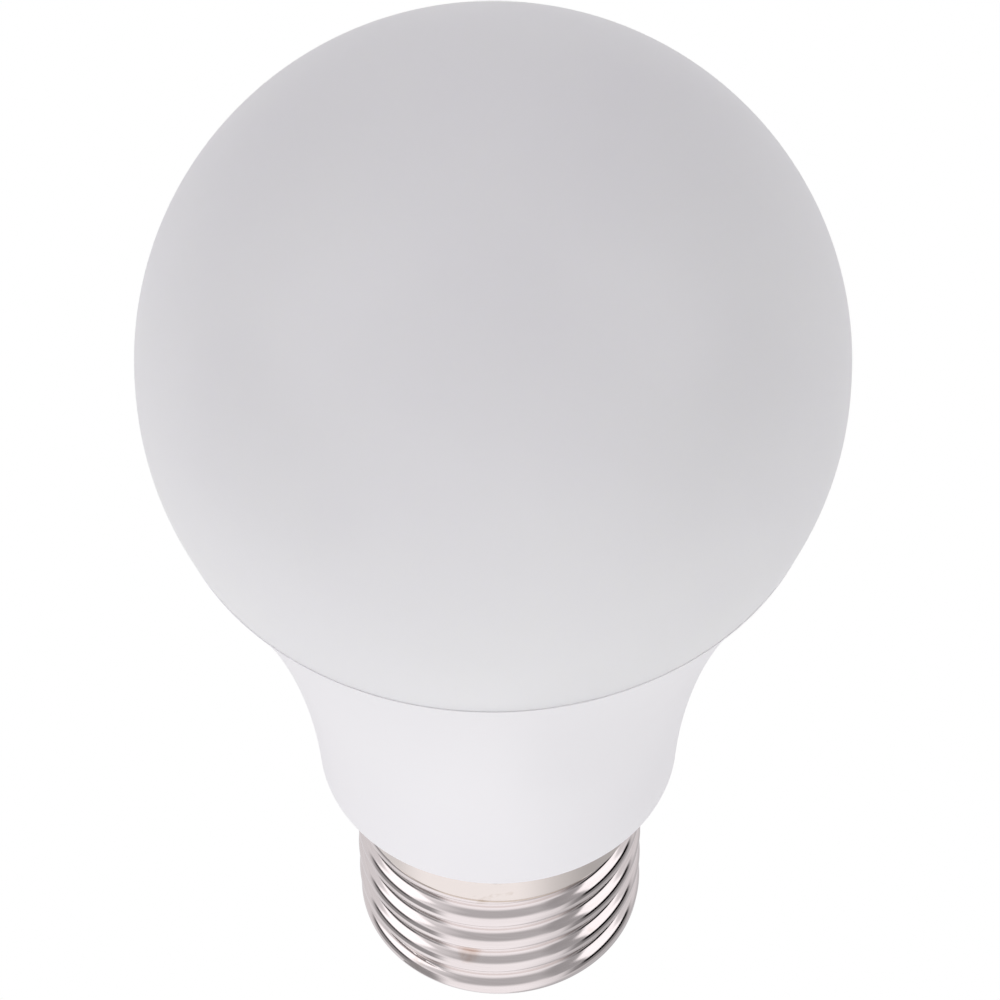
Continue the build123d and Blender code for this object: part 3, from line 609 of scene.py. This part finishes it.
def centre_contact():
    """Contact plate, slightly domed with a flat tip, and its hollow rivet."""
    low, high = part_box("centre_contact")
    plate_top = node_bottom("cap_insulator")
    swell_radius, swell_height = CONTACT_SWELL
    outline = rounded(
        [
            (0, low.z),
            (CONTACT_FLAT, low.z, CONTACT_ROUND),
            (swell_radius, low.z + swell_height, CONTACT_ROUND),
            (high.x, low.z + CONTACT_SHOULDER, CONTACT_ROUND),
            (high.x, plate_top, EDGE),
            (RIVET_RADIUS, plate_top),
            (RIVET_RADIUS, high.z, EDGE),
            (RIVET_BORE, high.z, EDGE),
            (RIVET_BORE, low.z + RIVET_FLOOR),
            (0, low.z + RIVET_FLOOR),
        ]
    )
    piece = turned("centre_contact_plate", outline, 96)
    dress(piece, contact_metal())
    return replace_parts(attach(piece, "root"), "centre_contact")


# --- Materials of the inner nodes ---------------------------------------------------------------
def grained(name, colour, roughness, metallic=0.0, grain=900, depth=0.00004, spread=0.06):
    """Procedural base for the inner pieces: colour and roughness vary and the skin has a grain."""
    surface = Surface(name, colour, roughness, metallic)
    cloud = surface.noise(180, 3)
    darker = tuple(channel * (1 - spread) for channel in colour)
    lighter = tuple(min(1.0, channel * (1 + spread)) for channel in colour)
    surface.colour(surface.ramp(cloud, (0.3, darker), (0.7, lighter)))
    patches = surface.noise(420, 3)
    surface.roughness(surface.ramp(patches, (0.3, roughness * 0.8), (0.7, min(1.0, roughness * 1.2))))
    surface.bump(surface.noise(grain, 3), 0.25, depth)
    return surface


INNER_FINISHES = {
    "silicone": dict(colour=(0.74, 0.74, 0.71), roughness=0.6, grain=500),
    "aluminium": dict(colour=(0.80, 0.81, 0.82), roughness=0.32, metallic=1.0, grain=1600),
    "pad": dict(colour=(0.26, 0.30, 0.36), roughness=0.8, grain=2200),
    "white_mask": dict(colour=(0.80, 0.80, 0.77), roughness=0.35, grain=700),
    "green_board": dict(colour=(0.015, 0.11, 0.035), roughness=0.3, grain=700, spread=0.2),
    "blue_board": dict(colour=(0.01, 0.03, 0.13), roughness=0.3, grain=700, spread=0.2),
    "led_cool": dict(colour=(0.80, 0.74, 0.22), roughness=0.45, grain=3000),
    "led_warm": dict(colour=(0.82, 0.40, 0.05), roughness=0.45, grain=3000),
    "led_colour": dict(colour=(0.82, 0.82, 0.80), roughness=0.25, grain=1200),
    "screw_steel": dict(colour=(0.62, 0.62, 0.64), roughness=0.3, metallic=1.0, grain=1400),
    "white_nylon": dict(colour=(0.76, 0.74, 0.66), roughness=0.5, grain=1500),
    "black_nylon": dict(colour=(0.012, 0.012, 0.012), roughness=0.5, grain=1500, spread=0.3),
    "pin_tin": dict(colour=(0.74, 0.73, 0.70), roughness=0.25, metallic=1.0, grain=1800),
    "shield_metal": dict(colour=(0.68, 0.69, 0.70), roughness=0.28, metallic=1.0, grain=1300),
    "copper": dict(colour=(0.78, 0.42, 0.24), roughness=0.3, metallic=1.0, grain=2000),
    "liner_plastic": dict(colour=(0.72, 0.72, 0.69), roughness=0.5, grain=900),
    "can_sleeve": dict(colour=(0.02, 0.03, 0.09), roughness=0.25, grain=700, spread=0.25),
    "film_yellow": dict(colour=(0.68, 0.48, 0.04), roughness=0.35, grain=800),
    "resistor_body": dict(colour=(0.08, 0.24, 0.30), roughness=0.4, grain=900, spread=0.15),
    "chip_black": dict(colour=(0.013, 0.013, 0.014), roughness=0.55, grain=3000, spread=0.3),
    "winding_wire": dict(colour=(0.45, 0.13, 0.04), roughness=0.25, metallic=0.6, grain=1500, spread=0.2),
    "ferrite": dict(colour=(0.035, 0.035, 0.038), roughness=0.7, grain=2500, spread=0.25),
    "tape_yellow": dict(colour=(0.72, 0.52, 0.06), roughness=0.25, grain=900),
    "wire_red": dict(colour=(0.42, 0.015, 0.012), roughness=0.35, grain=1200, spread=0.15),
    "wire_black": dict(colour=(0.012, 0.012, 0.013), roughness=0.4, grain=1200, spread=0.3),
}


def dress_inner_nodes():
    """Every CAD node that no mesh piece replaces gets its slot's procedural material."""
    slots = {entry["node"]: entry["material_slot"] for entry in frame["record"]["subparts"]}
    surfaces = {}
    for node, piece in frame["nodes"].items():
        slot = slots[node]
        if slot not in INNER_FINISHES:
            continue
        if slot not in surfaces:
            surfaces[slot] = grained(slot, **INNER_FINISHES[slot])
        dress(piece, surfaces[slot])
        for polygon in piece.data.polygons:
            polygon.use_smooth = True
        piece.data.set_sharp_from_angle(angle=CAD_SMOOTH_ANGLE)


# --- Studio -------------------------------------------------------------------------------------
FLOOR_RADIUS = 4.0
FLOOR_GAP = 0.2 * MM  # keeps the floor clear of the contact
TABLE_FADE = (0.15, 0.7)  # where the table's light starts and stops fading, in metres
TABLE_LIGHT = (1.1, 0.6)  # its levels before and after
TABLE_SEEN = 1.0  # even level that the camera sees
BACKGROUND_SEEN = 0.97
ROOM_TINT = (0.985, 0.965, 1.0)
CAMERA_PITCH = math.radians(50.52)  # below the horizon
CAMERA_DISTANCE = 459.07 * MM
CAMERA_AIM_Z = 62.875 * MM
CAMERA_ASIDE = 0.433 * MM
CAMERA_ROLL = 0.012
LENS = 191.4  # focal length in millimetres
SENSOR = 36  # in millimetres


class Sky(Tree):
    """The studio around the bulb: a soft room with softboxes and the dark gaps beside them."""

    def __init__(self):
        world = bpy.data.worlds.new("studio")
        bpy.context.scene.world = world
        world.use_nodes = True
        super().__init__(world.node_tree)
        self.background = self.tree.nodes["Background"]
        place = self.node("ShaderNodeTexCoord").outputs["Generated"]
        split = self.node("ShaderNodeSeparateXYZ")
        self.link(place, split.inputs[0])
        front = self.maths("MULTIPLY", split.outputs["Y"], -1)
        self.azimuth = self.maths("ARCTAN2", split.outputs["X"], front)
        self.elevation = self.maths("ARCSINE", split.outputs["Z"], 0)
        self.level = None

    def step(self, source, edge, softness):
        """0 below the edge and 1 above it, in degrees."""
        start = math.radians(edge - softness / 2)
        end = math.radians(edge + softness / 2)
        return self.smoothstep(source, start, end)

    def window(self, source, low, high, softness):
        """1 between low and high and 0 outside, in degrees."""
        inside = self.step(source, low, softness)
        beyond = self.step(source, high, softness)
        return self.maths("SUBTRACT", inside, beyond)

    def room(self, horizon, zenith, low, high):
        """Light level that changes from the horizon to the zenith."""
        rise = self.step(self.elevation, (low + high) / 2, high - low)
        self.level = self.blend(rise, horizon, zenith)

    def patch(self, azimuths, elevations, softness, level):
        """Part of the room with its own light level; azimuth 0 is the front and 90 the right."""
        across = self.window(self.azimuth, *azimuths, softness)
        upright = self.window(self.elevation, *elevations, softness)
        inside = self.maths("MULTIPLY", across, upright)
        self.level = self.blend(inside, self.level, level)

    def done(self, tint, seen, soft, mirrored):
        """What the camera sees behind the bulb, the light that falls on it and what it mirrors."""
        ray = self.node("ShaderNodeLightPath")
        level = self.blend(ray.outputs["Is Glossy Ray"], soft, mirrored)
        level = self.blend(ray.outputs["Is Camera Ray"], level, seen)
        self.background.inputs["Color"].default_value = (*tint, 1)
        self.link(level, self.background.inputs["Strength"])


def table_glow(table):
    """Light of the table, strongest round the bulb, and even where the camera looks."""
    place = table.node("ShaderNodeTexCoord").outputs["Object"]
    light = table.smoothstep(table.distance(place, (0, 0, 0)), *TABLE_FADE, *TABLE_LIGHT)
    seen = table.node("ShaderNodeLightPath").outputs["Is Camera Ray"]
    glow = table.node("ShaderNodeEmission")
    table.link(table.blend(seen, light, TABLE_SEEN), glow.inputs["Strength"])
    return glow


def lit_table():
    """Material of the table: it glows upwards and is clear from underneath."""
    material = bpy.data.materials.new("lit_table")
    material.use_nodes = True
    table = Tree(material.node_tree)
    table.tree.nodes.clear()
    shown = table.node("ShaderNodeMixShader")
    side = table.node("ShaderNodeNewGeometry")
    table.link(side.outputs["Backfacing"], shown.inputs["Fac"])
    table.link(table_glow(table).outputs[0], shown.inputs[1])
    table.link(table.node("ShaderNodeBsdfTransparent").outputs[0], shown.inputs[2])
    output = table.node("ShaderNodeOutputMaterial")
    table.link(shown.outputs[0], output.inputs["Surface"])
    return material


def floor():
    """Plain pale table that lights the bulb from below."""
    bm = bmesh.new()
    bmesh.ops.create_circle(bm, cap_ends=True, radius=FLOOR_RADIUS, segments=96)
    piece = finished("floor", bm)
    piece.location.z = -FLOOR_GAP
    piece.data.materials.append(lit_table())
    piece.visible_glossy = False


def soft_light(sky):
    """Even room light, a broad light from the front and weaker ones from the sides."""
    sky.room(horizon=0.8, zenith=0.44, low=10, high=70)
    sky.patch(azimuths=(-34, 28), elevations=(-10, 26), softness=10, level=1.3)
    sky.patch(azimuths=(-112, -36), elevations=(-10, 30), softness=10, level=0.4)
    sky.patch(azimuths=(-100, -42), elevations=(22, 60), softness=6, level=1.6)
    sky.patch(azimuths=(29, 112), elevations=(-10, 68), softness=8, level=0.1)
    sky.patch(azimuths=(47, 100), elevations=(20, 60), softness=5, level=1.75)
    return sky.level


def mirrored_room(sky):
    """What the nickel mirrors: a dim room, a pale table in front, two softboxes with dark edges."""
    sky.room(horizon=0.76, zenith=0.70, low=15, high=70)
    sky.patch(azimuths=(-80, 30), elevations=(-130, 22), softness=40, level=1.05)
    sky.patch(azimuths=(-44, 44), elevations=(28, 120), softness=26, level=0.51)
    sky.patch(azimuths=(58, 140), elevations=(-130, -26), softness=50, level=0.5)
    sky.patch(azimuths=(30, 60), elevations=(14, 110), softness=14, level=0.38)
    sky.patch(azimuths=(44, 100), elevations=(-34, 14), softness=14, level=0.28)
    sky.patch(azimuths=(-100, -42), elevations=(-34, 14), softness=14, level=0.34)
    sky.patch(azimuths=(54, 98), elevations=(-10, 13), softness=6, level=0.0)
    sky.patch(azimuths=(-100, -64), elevations=(-5, 12), softness=9, level=0.08)
    sky.patch(azimuths=(-98, -63), elevations=(13, 110), softness=9, level=1.35)
    sky.patch(azimuths=(58, 91), elevations=(13, 110), softness=6, level=1.25)
    return sky.level


def studio():
    """Light of the whole room, and colours shown as they are."""
    sky = Sky()
    sky.done(ROOM_TINT, BACKGROUND_SEEN, soft_light(sky), mirrored_room(sky))
    scene = bpy.context.scene
    scene.view_settings.view_transform = "Standard"
    scene.view_settings.look = "None"


def camera():
    """Camera above the front, which looks down at the globe with a small roll."""
    lens = bpy.data.cameras.new("camera")
    lens.lens = LENS
    lens.sensor_width = SENSOR
    lens.clip_start = 0.01
    view = bpy.data.objects.new("camera", lens)
    bpy.context.scene.collection.objects.link(view)
    forward = Vector((0, math.cos(CAMERA_PITCH), -math.sin(CAMERA_PITCH)))
    upward = Vector((0, math.sin(CAMERA_PITCH), math.cos(CAMERA_PITCH)))
    across = Vector((1, 0, 0))
    right = across * math.cos(CAMERA_ROLL) - upward * math.sin(CAMERA_ROLL)
    up = across * math.sin(CAMERA_ROLL) + upward * math.cos(CAMERA_ROLL)
    place = Vector((CAMERA_ASIDE, 0, CAMERA_AIM_Z)) - forward * CAMERA_DISTANCE
    turn = Matrix((right, up, -forward)).transposed().to_4x4()
    view.matrix_world = Matrix.Translation(place) @ turn
    bpy.context.scene.camera = view


# --- The bulb -----------------------------------------------------------------------------------
globe_diffuser()
housing_shell()
cap_shell()
cap_insulator()
centre_contact()
dress_inner_nodes()
floor()
studio()
camera()
